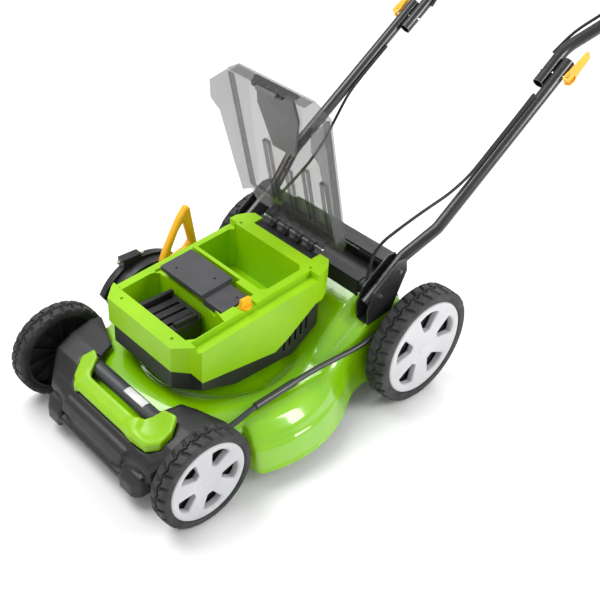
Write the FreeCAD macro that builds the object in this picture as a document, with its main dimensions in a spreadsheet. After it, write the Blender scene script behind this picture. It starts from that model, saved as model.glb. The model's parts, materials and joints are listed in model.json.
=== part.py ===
import FreeCAD, Part
import math
import os

from FreeCAD import Placement, Rotation, Vector
import Sketcher

# A cordless walk-behind lawn mower: pressed steel deck, battery housing with an open lid,
# four wheels on two cranked axles, and a folding tube handle.
# Model frame: +Z up, +Y towards the operator, +X to the operator's left hand.
# Sub-parts are drawn in the deck frame, whose origin lies on the ground midway between
# the axles; the row frame is the deck frame moved along Y by frame_shift.

doc = FreeCAD.newDocument("lawn_mower")
sheet = doc.addObject("Spreadsheet::Sheet", "dims")
sub_parts = []


# ---------------------------------------------------------------- named sizes

class Size:
    """A number together with the expression that ties it to the sheet."""

    def __init__(self, value, text):
        self.value = value
        self.text = text

    def __add__(self, other):
        return Size(self.value + number(other), f"({self.text} + {text_of(other)})")

    def __radd__(self, other):
        return Size(number(other) + self.value, f"({text_of(other)} + {self.text})")

    def __sub__(self, other):
        return Size(self.value - number(other), f"({self.text} - {text_of(other)})")

    def __rsub__(self, other):
        return Size(number(other) - self.value, f"({text_of(other)} - {self.text})")

    def __mul__(self, other):
        return Size(self.value * number(other), f"({self.text} * {text_of(other)})")

    def __rmul__(self, other):
        return Size(number(other) * self.value, f"({text_of(other)} * {self.text})")

    def __truediv__(self, other):
        return Size(self.value / number(other), f"({self.text} / {text_of(other)})")

    def __neg__(self):
        return Size(-self.value, f"(0 - {self.text})")


def number(size):
    return size.value if isinstance(size, Size) else float(size)


def text_of(size):
    return size.text if isinstance(size, Size) else f"{float(size):.6g}"


def driving(alias, value, meaning):
    """Puts one driving dimension in the sheet and returns it as a Size."""
    driving.row += 1
    sheet.set(f"A{driving.row}", meaning)
    sheet.set(f"B{driving.row}", f"{value:g}")
    sheet.setAlias(f"B{driving.row}", alias)
    return Size(float(value), f"dims.{alias}")


driving.row = 0

frame_shift = driving("frame_shift", -396.7, "deck frame to row frame, along Y")

wheelbase = driving("wheelbase", 548, "front axle to rear axle")
front_radius = driving("front_radius", 100, "front wheel radius, 8 inch wheel")
rear_radius = driving("rear_radius", 129, "rear wheel radius, 10 inch wheel")
front_tyre_width = driving("front_tyre_width", 41, "front tyre width")
rear_tyre_width = driving("rear_tyre_width", 50, "rear tyre width")
front_outer = driving("front_outer", 248.5, "centre plane to front tyre outer face")
rear_outer = driving("rear_outer", 266, "centre plane to rear tyre outer face")
stub_radius = driving("stub_radius", 6, "wheel stub axle radius")
rod_radius = driving("rod_radius", 5, "axle pivot rod radius")
running_gap = driving("running_gap", 0.05, "radial clearance of a running fit")
crank_reach = driving("crank_reach", 38, "crank pivot behind the wheel axle")
crank_rise = driving("crank_rise", 8, "crank pivot above the wheel axle")
link_rise = driving("link_rise", 31, "link pin above the crank pivot")

deck_bottom = driving("deck_bottom", 38, "deck rim above the ground")
deck_wall = driving("deck_wall", 2.5, "deck sheet thickness")
bowl_radius = driving("bowl_radius", 264, "outer radius of the cutting bowl")
bowl_centre = driving("bowl_centre", -55, "blade axis in Y")
trench_top = driving("trench_top", 128, "flat around the motor, above the ground")
crest_top = driving("crest_top", 146, "crest of the bowl, above the ground")
tunnel_top = driving("tunnel_top", 266, "top of the rear discharge tunnel")
blade_length = driving("blade_length", 434, "cutting width")
blade_level = driving("blade_level", 54, "blade centre above the ground")

housing_half = driving("housing_half", 130, "half width of the battery housing")
housing_front = driving("housing_front", -238, "front face of the battery housing")
housing_back = driving("housing_back", 132, "rear face of the battery housing")
rim_front = driving("rim_front", 284.5, "rim height at the front face")
rim_back = driving("rim_back", 324, "rim height at the rear face")
bay_floor = driving("bay_floor", 214, "battery bay floor above the ground")
wall = driving("wall", 3.5, "plastic wall thickness")

lid_length = driving("lid_length", 344, "hinge to front edge of the lid")
lid_opening = driving("lid_opening", 82, "how far the lid stands open, degrees")
hinge_level = driving("hinge_level", 327, "lid hinge above the ground")
hinge_back = driving("hinge_back", 140, "lid hinge behind the axle midpoint")
pin_radius = driving("pin_radius", 3, "hinge pin radius")

tube_radius = driving("tube_radius", 12.5, "handle tube radius")
handle_half = driving("handle_half", 206, "half spacing of the lower handle tubes")
bracket_half = driving("bracket_half", 184, "half spacing at the deck brackets")
handle_tilt = driving("handle_tilt", 36, "handle slope above horizontal, degrees")
handle_base = driving("handle_base", 125.6, "handle line height above the axle midpoint")
fold_place = driving("fold_place", 655, "handle fold pivot behind the axle midpoint")

half_base = wheelbase / 2
front_axle_y = -half_base
rear_axle_y = half_base
front_pivot = (front_axle_y + crank_reach, front_radius + crank_rise)
rear_pivot = (rear_axle_y + crank_reach, rear_radius + crank_rise)
slope = math.tan(math.radians(handle_tilt.value))
X_AXIS = Vector(1, 0, 0)
Y_AXIS = Vector(0, 1, 0)
Z_AXIS = Vector(0, 0, 1)


def handle_level(y):
    """Height of the handle's centre line at a place y."""
    return handle_base.value + slope * y


# ---------------------------------------------------------------- building helpers

def bind(target, name, size):
    """Sets a property and, for a Size, ties it to the sheet."""
    if isinstance(size, Size):
        target.setExpression(name, size.text)
    else:
        setattr(target, name, size)


def place(target, x=0, y=0, z=0, rotation=None):
    """Places an object in the deck frame, with its coordinates tied to the sheet."""
    target.Placement = Placement(Vector(number(x), number(y), number(z)), rotation or Rotation())
    for letter, size in zip("xyz", (x, y, z)):
        if isinstance(size, Size):
            target.setExpression(f"Placement.Base.{letter}", size.text)
    return target


def keep(target, label, x=0, y=0, z=0, rotation=None):
    """Names a finished sub-part and places it in the row frame."""
    target.Label = label
    place(target, x, frame_shift + y, z, rotation)
    sub_parts.append(target)
    return target


def box(x_range, y_range, z_range):
    """A box between two corners of the deck frame."""
    item = doc.addObject("Part::Box", "block")
    bind(item, "Length", x_range[1] - x_range[0])
    bind(item, "Width", y_range[1] - y_range[0])
    bind(item, "Height", z_range[1] - z_range[0])
    return place(item, x_range[0], y_range[0], z_range[0])


TURNS = {"x": Rotation(Y_AXIS, 90), "y": Rotation(X_AXIS, -90), "z": Rotation()}


def rod(radius, length, axis="z", x=0, y=0, z=0):
    """A cylinder that starts at a point and runs along a positive axis."""
    item = doc.addObject("Part::Cylinder", "rod")
    bind(item, "Radius", radius)
    bind(item, "Height", length)
    return place(item, x, y, z, TURNS[axis])


def centred_rod(radius, length, axis, x=0, y=0, z=0):
    """A cylinder centred on a point."""
    shift = {"x": 0, "y": 0, "z": 0}
    shift[axis] = length / 2
    return rod(radius, length, axis, x - shift["x"], y - shift["y"], z - shift["z"])


def fuse(*items):
    item = doc.addObject("Part::MultiFuse", "union")
    item.Shapes = list(items)
    item.Refine = True
    return item


def group(*items):
    """Separate solids that share one node."""
    item = doc.addObject("Part::Compound", "set")
    item.Links = list(items)
    return item


def cut(base, *tools):
    item = doc.addObject("Part::Cut", "cut")
    item.Base = base
    item.Tool = tools[0] if len(tools) == 1 else fuse(*tools)
    return item


def common(first, second):
    item = doc.addObject("Part::MultiCommon", "common")
    item.Shapes = [first, second]
    return item


def tube_ring(outer, inner, length, axis, x=0, y=0, z=0):
    """A plain bush or ring centred on a point."""
    return cut(centred_rod(outer, length, axis, x, y, z), centred_rod(inner, length + 2, axis, x, y, z))


def new_body():
    return doc.addObject("PartDesign::Body", "body")


def plane_of(body, role):
    return next(item for item in body.Origin.OriginFeatures if item.Role == role)


def outline(body, role, points, offset=0):
    """A closed sketch through points, each coordinate a driving constraint."""
    sketch = body.newObject("Sketcher::SketchObject", "outline")
    sketch.AttachmentSupport = [(plane_of(body, role), "")]
    sketch.MapMode = "FlatFace"
    sketch.AttachmentOffset = Placement(Vector(0, 0, number(offset)), Rotation())
    if isinstance(offset, Size):
        sketch.setExpression("AttachmentOffset.Base.z", offset.text)
    corners = [Vector(number(a), number(b), 0) for a, b in points]
    count = len(corners)
    for i in range(count):
        sketch.addGeometry(Part.LineSegment(corners[i], corners[(i + 1) % count]), False)
    for i in range(count):
        sketch.addConstraint(Sketcher.Constraint("Coincident", i, 2, (i + 1) % count, 1))
    for i, pair in enumerate(points):
        for kind, size in zip(("DistanceX", "DistanceY"), pair):
            index = sketch.addConstraint(Sketcher.Constraint(kind, -1, 1, i, 1, number(size)))
            if isinstance(size, Size):
                sketch.setExpression(f"Constraints[{index}]", size.text)
    return sketch


def pad(body, sketch, length, symmetric=False, backwards=False):
    item = body.newObject("PartDesign::Pad", "pad")
    item.Profile = sketch
    item.SideType = "Symmetric" if symmetric else "One side"
    item.Reversed = backwards
    bind(item, "Length", length)
    return item


def pocket_through(body, sketch):
    item = body.newObject("PartDesign::Pocket", "pocket")
    item.Profile = sketch
    item.SideType = "Symmetric"
    item.Type = "ThroughAll"
    return item


def spin(body, sketch):
    """Revolves a sketch about its own vertical axis."""
    item = body.newObject("PartDesign::Revolution", "turned")
    item.Profile = sketch
    item.ReferenceAxis = (sketch, ["V_Axis"])
    item.Angle = 360
    return item


def repeat_round(body, feature, count):
    """Repeats a feature round the body's Z axis."""
    item = body.newObject("PartDesign::PolarPattern", "repeat")
    item.Originals = [feature]
    axis = next(part for part in body.Origin.OriginFeatures if part.Role == "Z_Axis")
    item.Axis = (axis, [""])
    item.Angle = 360
    item.Occurrences = count
    body.Tip = item
    return item


def prism(role, points, length, offset=0, symmetric=False):
    body = new_body()
    pad(body, outline(body, role, points, offset), length, symmetric)
    return body


def across(points, width, x=0):
    """A prism with a side outline of (y, z) points, centred on x."""
    body = prism("YZ_Plane", points, width, x, symmetric=True)
    return body


def upright(points, low, high):
    """A prism with a plan outline of (x, y) points between two levels."""
    return prism("XY_Plane", points, high - low, low)


def mirrored_plan(half):
    """Completes a plan outline given for +X, from front to back."""
    return half + [(-x, y) for x, y in reversed(half)]


def turned(points):
    """A solid of revolution about Z with (radius, level) points."""
    body = new_body()
    spin(body, outline(body, "XZ_Plane", points))
    return body


def round_edges(base, radius, test):
    """Part fillet on every edge whose middle and direction pass a test."""
    doc.recompute()
    chosen = []
    for index, edge in enumerate(base.Shape.Edges, 1):
        if test(edge):
            chosen.append((index, number(radius), number(radius)))
    item = doc.addObject("Part::Fillet", "rounded")
    item.Base = base
    item.Edges = chosen
    return item


def runs_along(direction, tolerance=0.999):
    def test(edge):
        ends = edge.Vertexes
        if len(ends) < 2:
            return False
        line = ends[-1].Point - ends[0].Point
        return line.Length > 1 and abs(line.normalize().dot(direction)) > tolerance
    return test


def bent_path(points, radii):
    """Straight runs joined by tangent arcs; radii belong to the inner points."""
    points = [Vector(*point) for point in points]
    edges = []
    start = points[0]
    for i, radius in enumerate(radii, 1):
        back = (points[i - 1] - points[i]).normalize()
        ahead = (points[i + 1] - points[i]).normalize()
        half_turn = (math.pi - back.getAngle(ahead)) / 2
        reach = radius * math.tan(half_turn)
        begin = points[i] + back * reach
        end = points[i] + ahead * reach
        bisector = (back + ahead).normalize()
        centre = points[i] + bisector * (radius / math.cos(half_turn))
        middle = centre - bisector * radius
        if (begin - start).Length > 1e-6:
            edges.append(Part.LineSegment(start, begin).toShape())
        edges.append(Part.Arc(begin, middle, end).toShape())
        start = end
    edges.append(Part.LineSegment(start, points[-1]).toShape())
    return Part.Wire(edges)


def limp_radii(points):
    """Arc radii of a cord: 0.45 of the shorter run over the tangent of half the turn."""
    points = [Vector(*point) for point in points]
    radii = []
    for before, here, after in zip(points, points[1:], points[2:]):
        back = before - here
        ahead = after - here
        half_turn = (math.pi - back.getAngle(ahead)) / 2
        radii.append(0.45 * min(back.Length, ahead.Length) / math.tan(half_turn))
    return radii


def pipe(points, radii, radius, bore=0):
    """A round bar or tube along a bent path."""
    path = bent_path(points, radii)
    start = Vector(*points[0])
    direction = Vector(*points[1]) - start
    profile = Part.Wire([Part.Circle(start, direction, number(radius)).toShape()])
    solid = path.makePipeShell([profile], True, False)
    if bore:
        hollow = Part.Wire([Part.Circle(start, direction, number(bore)).toShape()])
        solid = solid.cut(path.makePipeShell([hollow], True, False))
    return solid


def feature(shape, name):
    item = doc.addObject("Part::Feature", name)
    item.Shape = shape
    return item


# ---------------------------------------------------------------- deck

def bowl(inset):
    """The round bowl over the blade: steep wall, rounded crest, shallow trench."""
    centre = Vector(0, bowl_centre.value, 0)
    rim = bowl_radius.value - inset
    top = crest_top.value - inset
    low = deck_bottom.value - (5 if inset else 0)
    flat = trench_top.value - inset
    wall_line = Part.LineSegment(Vector(rim, 0, low), Vector(rim, 0, deck_bottom.value + 14))
    flank = Part.BSplineCurve()
    flank.interpolate([
        Vector(rim, 0, deck_bottom.value + 14),
        Vector(rim - 6, 0, deck_bottom.value + 40),
        Vector(rim - 22, 0, deck_bottom.value + 72),
        Vector(rim - 52, 0, top - 7),
        Vector(rim - 80, 0, top),
        Vector(rim - 104, 0, top - 8),
        Vector(rim - 122, 0, flat),
    ])
    inner = Part.LineSegment(Vector(rim - 122, 0, flat), Vector(0, 0, flat))
    middle = Part.LineSegment(Vector(0, 0, flat), Vector(0, 0, low))
    floor = Part.LineSegment(Vector(0, 0, low), Vector(rim, 0, low))
    section = Part.Wire([edge.toShape() for edge in (wall_line, flank, inner, middle, floor)])
    solid = Part.Face(section).revolve(Vector(), Z_AXIS, 360)
    solid.translate(centre)
    return solid


def side_block(points, half_width):
    """A block with a side outline of (y, z) points, symmetric about the centre plane."""
    wire = Part.makePolygon([Vector(-half_width, y, z) for y, z in points + points[:1]])
    return Part.Face(wire).extrude(Vector(2 * half_width, 0, 0))


def deck_solid(inset):
    low = deck_bottom.value - (5 if inset else 0)
    crest = crest_top.value - inset
    tunnel = tunnel_top.value - inset
    front = side_block([
        (bowl_centre.value - 207 + inset, low),
        (bowl_centre.value - 207 + inset, deck_bottom.value + 48 - inset),
        (bowl_centre.value - 178, trench_top.value - 10 - inset),
        (bowl_centre.value, trench_top.value - inset),
        (bowl_centre.value, low),
    ], 150 - inset)
    rear = side_block([
        (20, low),
        (20, trench_top.value - 2 - inset),
        (90, crest + 16),
        (160, crest + 56),
        (262, crest + 70),
        (300, crest - 20),
        (330 - inset, deck_bottom.value + 50),
        (330 - inset, low),
    ], 194 - inset)
    tunnel_block = side_block([
        (40, low),
        (40, crest - 10),
        (110, tunnel - 66),
        (150, tunnel - 40),
        (240, tunnel),
        (252, tunnel),
        (318 - inset, crest - 60),
        (318 - inset, low),
    ], 160 - inset)
    dome = bowl(inset)
    for side in (-1, 1):
        for edge, front_end in ((176, -212), (200, -158)):
            corner_x = edge - inset if side > 0 else inset - edge - 200
            dome = dome.cut(Part.makeBox(200, 200, 300, Vector(corner_x, front_end - 200 + inset, 0)))
    dome = dome.cut(Part.makeBox(600, 100, 300, Vector(-300, -406 + inset, 0)))
    dome = dome.cut(Part.makeBox(100, 600, 300, Vector(-335.5 + inset, -400, 0)))
    return dome.fuse([front, rear, tunnel_block]).removeSplitter()


def deck_sheet():
    """The pressed sheet before its openings are cut."""
    return deck_solid(0).cut(deck_solid(deck_wall.value))


def build_deck():
    shell = deck_sheet()
    shaft_hole = Part.makeCylinder(30, 60, Vector(0, bowl_centre.value, 100))
    mouth = Part.makeBox(290, 90, 70, Vector(-145, 256, 184))
    side_mouth = Part.makeBox(90, 190, 66, Vector(-290, -150, deck_bottom.value + 12))
    rod_way = Part.makeCylinder(8, 400, Vector(-200, front_pivot[0].value, front_pivot[1].value), X_AXIS)
    shell = shell.cut([shaft_hole, mouth, side_mouth, rod_way])
    keep(feature(shell, "deck_shell"), "deck")


build_deck()


def clear_of_deck(item, gap=0.2):
    """Trims a piece so that it sits on the deck's outer skin."""
    return cut(item, feature(deck_solid(-gap), "deck_block"))


# Side discharge: an arched hood on the right-hand wall and the door that closes it.
hood_span = driving("hood_span", 112, "half width of the side discharge arch")
hood_top = driving("hood_top", 222, "top of the side discharge arch")
hood_out = driving("hood_out", 236, "centre plane to the hood's outer face")


def arch_prism(inset, x_inner, x_outer, low):
    """An arched block, its round top centred on the blade axis."""
    span = hood_span.value - inset
    shoulder = hood_top.value - hood_span.value
    left = Vector(0, bowl_centre.value - span, shoulder)
    right = Vector(0, bowl_centre.value + span, shoulder)
    crown = Vector(0, bowl_centre.value, shoulder + span)
    edges = [
        Part.LineSegment(Vector(0, left.y, low), left).toShape(),
        Part.Arc(left, crown, right).toShape(),
        Part.LineSegment(right, Vector(0, right.y, low)).toShape(),
        Part.LineSegment(Vector(0, right.y, low), Vector(0, left.y, low)).toShape(),
    ]
    block = Part.Face(Part.Wire(edges)).extrude(Vector(x_inner - x_outer, 0, 0))
    block.translate(Vector(-x_inner, 0, 0))
    return block


hood = arch_prism(0, 212, hood_out.value, 52).cut(arch_prism(wall.value, 216, hood_out.value + 2, 40))
hood = hood.cut([deck_solid(-0.2), Part.makeBox(20, 170, 74, Vector(-222, -140, 44))])
wheel_arch = Part.makeCylinder(127, 100, Vector(-300, front_axle_y.value + 6, front_radius.value), X_AXIS)
hood = hood.cut(wheel_arch)
hood_solids = sorted(hood.Solids, key=lambda solid: solid.Volume)
keep(feature(hood_solids[-1], "hood_shell"), "side_hood")

door_face = arch_prism(-6, hood_out.value + 1, hood_out.value + 5, 52)
door_lip = arch_prism(-6, hood_out.value + 5, hood_out.value + 17, 52)
door_lip = door_lip.cut(arch_prism(4, hood_out.value + 4, hood_out.value + 18, 40))
door_block = Part.makeBox(20, 46, 20, Vector(-hood_out.value - 21, bowl_centre.value - 52, hood_top.value - 6))
door_bore = Part.makeCylinder(
    pin_radius.value + running_gap.value, 90,
    Vector(-hood_out.value - 11, bowl_centre.value - 70, hood_top.value + 7), Y_AXIS)
door = door_face.fuse([door_lip, door_block]).removeSplitter().cut([door_bore, wheel_arch])
door_solids = sorted(door.Solids, key=lambda solid: solid.Volume)
keep(feature(door_solids[-1], "door_panel"), "side_door")

# ---------------------------------------------------------------- wheels and axles


def make_wheel(name, side, y, z, radius, width, outer):
    """Tyre, core and hub cap of one wheel; local Z points outwards."""
    seat = radius * 0.835
    cap = radius * 0.81
    bore = stub_radius + running_gap
    turn = Rotation(Y_AXIS, 90 * side)
    inner = outer - width
    x = inner if side > 0 else -inner

    tyre = turned([
        (seat, 2), (radius - 7, 0), (radius - 1.5, 3.5), (radius, 8),
        (radius, width - 8), (radius - 1.5, width - 3.5), (radius - 7, width), (seat, width - 2),
    ])
    keep(tyre, f"{name}_tyre", x, y, z, turn)

    core = new_body()
    spin(core, outline(core, "XZ_Plane", [
        (bore, 2), (18, 2), (18, width - 24), (seat - 6, width - 24), (seat - 6, 3),
        (seat, 3), (seat, width - 3), (seat - 2.5, width - 3), (seat - 2.5, width - 20),
        (18, width - 20), (18, width - 17), (bore, width - 17),
    ]))
    rib = pad(core, outline(core, "XZ_Plane", [
        (16, 6), (seat - 5, 8), (seat - 5, width - 23), (16, width - 23),
    ]), 1.8, symmetric=True)
    repeat_round(core, rib, 12)
    keep(core, f"{name}_core", x, y, z, turn)

    hub_cap = new_body()
    spin(hub_cap, outline(hub_cap, "XZ_Plane", [
        (0, width - 8), (cap * 0.3, width - 7.5), (cap * 0.82, width - 3.5), (cap * 0.9, width - 2),
        (cap * 0.9, width - 20), (cap, width - 20), (cap, width - 1), (cap * 0.86, width),
        (cap * 0.3, width - 4.5), (0, width - 5),
    ]))
    window = pocket_through(hub_cap, outline(hub_cap, "XY_Plane", [
        (cap * 0.42, -(cap * 0.06)), (cap * 0.8, -(cap * 0.22)),
        (cap * 0.8, cap * 0.22), (cap * 0.42, cap * 0.06),
    ]))
    repeat_round(hub_cap, window, 5)
    keep(hub_cap, f"{name}_cap", x, y, z, turn)


WHEELS = [
    ("front_left", 1, front_axle_y, front_radius, front_tyre_width, front_outer),
    ("front_right", -1, front_axle_y, front_radius, front_tyre_width, front_outer),
    ("rear_left", 1, rear_axle_y, rear_radius, rear_tyre_width, rear_outer),
    ("rear_right", -1, rear_axle_y, rear_radius, rear_tyre_width, rear_outer),
]
for wheel_name, wheel_side, wheel_y, wheel_r, wheel_w, wheel_face in WHEELS:
    make_wheel(wheel_name, wheel_side, wheel_y, wheel_r, wheel_r, wheel_w, wheel_face)


def crank_plate(x, pivot, axle, pin):
    """A flat crank joining the pivot rod, the stub axle and, where there is one, the link pin."""
    plate = across([
        (pivot[0] - 3, pivot[1] - 11), (axle[0] - 3, axle[1] - 12), (axle[0] - 12, axle[1]),
        (axle[0] - 4, axle[1] + 12), (pivot[0] - 8, pin[1] + 6), (pivot[0] + 8, pin[1] + 6),
        (pivot[0] + 11, pivot[1]),
    ], 6, x)
    return plate


def make_axle(name, pivot, axle_y, axle_z, inner_face, outer_face, plate_x):
    """A cranked axle: pivot rod, two crank plates, two stub axles and the link pins."""
    pin = (pivot[0], pivot[1] + link_rise)
    pieces = [centred_rod(rod_radius, plate_x * 2, "x", 0, pivot[0], pivot[1])]
    for side in (-1, 1):
        pieces.append(crank_plate(side * plate_x, pivot, (axle_y, axle_z), pin))
        stub = outer_face - plate_x - 10
        start = plate_x if side > 0 else -(plate_x + stub)
        pieces.append(rod(stub_radius, stub, "x", start, axle_y, axle_z))
        pin_start = plate_x if side > 0 else -(plate_x + 12.5)
        pieces.append(rod(4, 12.5, "x", pin_start, pin[0], pin[1]))
        collar = inner_face - plate_x - 3.5
        collar_start = plate_x + 3 if side > 0 else -(plate_x + 3 + collar)
        pieces.append(rod(11, collar, "x", collar_start, axle_y, axle_z))
    keep(fuse(*pieces), f"{name}_axle")
    nuts = []
    for side in (-1, 1):
        nut = tube_ring(10, stub_radius, 5, "x", side * (outer_face - 14), axle_y, axle_z)
        nuts.append(nut)
    keep(group(*nuts), f"{name}_axle_nuts")


front_inner = front_outer - front_tyre_width
rear_inner = rear_outer - rear_tyre_width
front_plate = driving("front_plate", 190, "centre plane to a front crank plate")
rear_plate = driving("rear_plate", 198, "centre plane to a rear crank plate")
make_axle("front", front_pivot, front_axle_y, front_radius, front_inner, front_outer, front_plate)
make_axle("rear", rear_pivot, rear_axle_y, rear_radius, rear_inner, rear_outer, rear_plate)

# Pressed hangers that carry the pivot rods under the deck.
hanger_pieces = []
for pivot, hanger_x, top in ((front_pivot, 178.7, 30), (rear_pivot, 163, 30)):
    for side in (-1, 1):
        plate = across([
            (pivot[0] - 14, pivot[1] - 14), (pivot[0] + 14, pivot[1] - 14),
            (pivot[0] + 14, pivot[1] + top - 14), (pivot[0] - 14, pivot[1] + top - 14),
        ], 5, side * hanger_x)
        bore = centred_rod(rod_radius + running_gap, 20, "x", side * hanger_x, pivot[0], pivot[1])
        hanger_pieces.append(clear_of_deck(cut(plate, bore)))
keep(group(*hanger_pieces), "axle_hangers")


def eye_rod(name, x, points, radius):
    """A round rod with an eye at each end, running beside the deck."""
    ends = [points[0], points[-1]]
    solid = pipe(points, limp_radii(points), radius)
    for end in ends:
        solid = solid.fuse(Part.makeCylinder(9, 6, Vector(x - 3, end[1], end[2]), X_AXIS))
    for end in ends:
        hole = Part.makeCylinder(4 + running_gap.value, 40, Vector(x - 20, end[1], end[2]), X_AXIS)
        solid = solid.cut(hole)
    keep(feature(solid.removeSplitter(), name), name)


front_pin = (front_pivot[0].value, front_pivot[1].value + link_rise.value)
rear_pin = (rear_pivot[0].value, rear_pivot[1].value + link_rise.value)
link_x = 199
link_points = [
    (link_x, front_pin[0], front_pin[1]), (link_x, -180, 145), (link_x, -136, 156), (link_x, -60, 162),
    (link_x, 20, 165), (link_x + 3.5, 76, 166), (link_x + 7, 130, 167), (link_x + 10.5, 172, 176),
    (link_x + 10.5, 220, 183), (link_x + 10.5, 266, 184), (link_x + 10.5, rear_pin[0], rear_pin[1]),
]
eye_front = Part.makeCylinder(9, 6, Vector(link_x - 3, *front_pin), X_AXIS)
eye_rear = Part.makeCylinder(9, 6, Vector(link_x + 6.5, *rear_pin), X_AXIS)
link = pipe(link_points, limp_radii(link_points), 5.5)
link = link.fuse([eye_front, eye_rear, pipe([(link_x, -128, 157.5), (link_x, -30, 163)], [], 7.5)])
for pin_place in (front_pin, rear_pin):
    link = link.cut(Part.makeCylinder(4 + running_gap.value, 60, Vector(180, *pin_place), X_AXIS))
keep(feature(link.removeSplitter(), "link"), "link_rod")

# Height lever on the right-hand side, with its notched plate and its own link.
lever_pivot = (18, 160)
lever_pin = (lever_pivot[0], lever_pivot[1] + link_rise.value)
lever_x = -204
link_side = lever_x - 2
lever_link_points = [(link_side, *lever_pin), (link_side, 120, 190), (link_side, 230, 182), (link_side, *rear_pin)]
eye_rod("lever_link", link_side, lever_link_points, 4)
grip_outer = [(-46, 216), (-30, 203), (46, 226), (52, 240), (34, 336), (22, 342), (2, 318), (-30, 262), (-44, 232)]
grip_inner = [(-20, 226), (24, 240), (16, 298), (2, 282), (-14, 252)]
grip_ring = cut(across(grip_outer, 17, lever_x + 4), across(grip_inner, 30, lever_x + 4))
lever_outline = [
    (lever_pivot[0] - 12, lever_pivot[1] - 10), (lever_pivot[0] + 12, lever_pivot[1] - 10),
    (lever_pivot[0] + 14, lever_pin[1] + 10), (34, 226), (6, 226), (lever_pivot[0] - 14, lever_pin[1] + 10),
]
rounded_grip = round_edges(grip_ring, 5, lambda edge: not runs_along(X_AXIS)(edge))
keep(cut(rounded_grip, across(lever_outline, 5, -195)), "height_grip")
lever_plate = across(lever_outline, 5, -195)
lever_bore = centred_rod(rod_radius + running_gap, 20, "x", -195, *lever_pivot)
lever_stub = rod(4, 14, "x", -210, *lever_pin)
keep(fuse(cut(lever_plate, lever_bore), lever_stub), "height_lever")
quadrant_plate = across([
    (-46, 148), (46, 149), (84, 162), (84, 172), (66, 192), (38, 202), (-2, 202), (-30, 192), (-46, 168),
], 4, -189)
quadrant_pin = rod(rod_radius, 15, "x", -199, *lever_pivot)
keep(fuse(quadrant_plate, quadrant_pin), "height_quadrant")

# ---------------------------------------------------------------- motor, blade

blade_y = bowl_centre
motor_floor = trench_top
can = turned([(20, 0), (74, 0), (74, 62), (18, 66), (18, 62), (70, 58), (70, 4), (20, 4)])
keep(can, "motor_can", 0, blade_y, motor_floor)
stator = tube_ring(69, 48, 44, "z", 0, 0, 30)
keep(stator, "motor_stator", 0, blade_y, motor_floor)
rotor = turned([(0, -66), (8, -66), (8, 6), (46, 10), (46, 50), (8, 54), (8, 70), (0, 70)])
keep(rotor, "motor_rotor", 0, blade_y, motor_floor)
bearing_low = tube_ring(19.9, 8 + running_gap, 6, "z", 0, 0, 1.5)
bearing_high = tube_ring(17.9, 8 + running_gap, 6, "z", 0, 0, 62)
keep(group(bearing_low, bearing_high), "motor_bearings", 0, blade_y, motor_floor)

adapter = turned([(8, 5), (24, 5), (34, 9), (34, 14), (20, 20), (16, 34), (8, 34)])
keep(adapter, "blade_adapter", 0, blade_y, blade_level - 3)
half_blade = blade_length / 2
blade_plan = [
    (-half_blade, -27), (-half_blade * 0.62, -27), (-half_blade * 0.5, -24), (half_blade, -24),
    (half_blade, 27), (half_blade * 0.62, 27), (half_blade * 0.5, 24), (-half_blade, 24),
]
blade_body = upright(blade_plan, 0, 4)
blade_hole = rod(8.02, 20, "z", 0, 0, -5)
keep(cut(blade_body, blade_hole), "blade", 0, blade_y, blade_level - 2)
bolt_head = turned([(0, -16), (13, -16), (13, -6), (18, -5), (18, -2), (0, -2)])
keep(bolt_head, "blade_bolt", 0, blade_y, blade_level)

chute_floor = across([
    (112, 100), (150, 128), (200, 172), (244, 180), (300, 176), (300, 173),
    (244, 177), (200, 169), (152, 125), (114, 97),
], 300)
rear_wall = across([(176, 236), (180, 236), (180, 272), (198, 274), (198, 278), (176, 276)], 300)
keep(group(cut(chute_floor, feature(deck_sheet(), "deck_block")), clear_of_deck(rear_wall)), "discharge_chute")

# ---------------------------------------------------------------- battery housing

rim_slope = (rim_back.value - rim_front.value) / (housing_back.value - housing_front.value)
rim_tilt = math.degrees(math.atan(rim_slope))
plan = mirrored_plan([
    (95, housing_front), (118, housing_front + 24), (housing_half, housing_front + 42),
    (housing_half, housing_back - 32), (housing_half - 10, housing_back - 12), (108, housing_back),
])
shell_side = across([
    (housing_front - 2, 232), (housing_front + 26, 230), (housing_front + 44, 204), (-18, 184), (12, 200),
    (82, 252), (housing_back + 8, 262), (housing_back + 8, rim_back), (housing_front - 2, rim_front),
], 400)
shell_block = common(upright(plan, 150, 400), shell_side)
side_drop = 14


def sloped_box(x_range, y_range, depth):
    """A cutter that removes everything above a plane this far under the rim."""
    low = rim_front - depth + (y_range[0] - housing_front) * rim_slope
    high = rim_front - depth + (y_range[1] - housing_front) * rim_slope
    return across([
        (y_range[0], low), (y_range[1], high), (y_range[1], high + 120), (y_range[0], low + 120),
    ], x_range[1] - x_range[0], (x_range[0] + x_range[1]) / 2)


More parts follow.
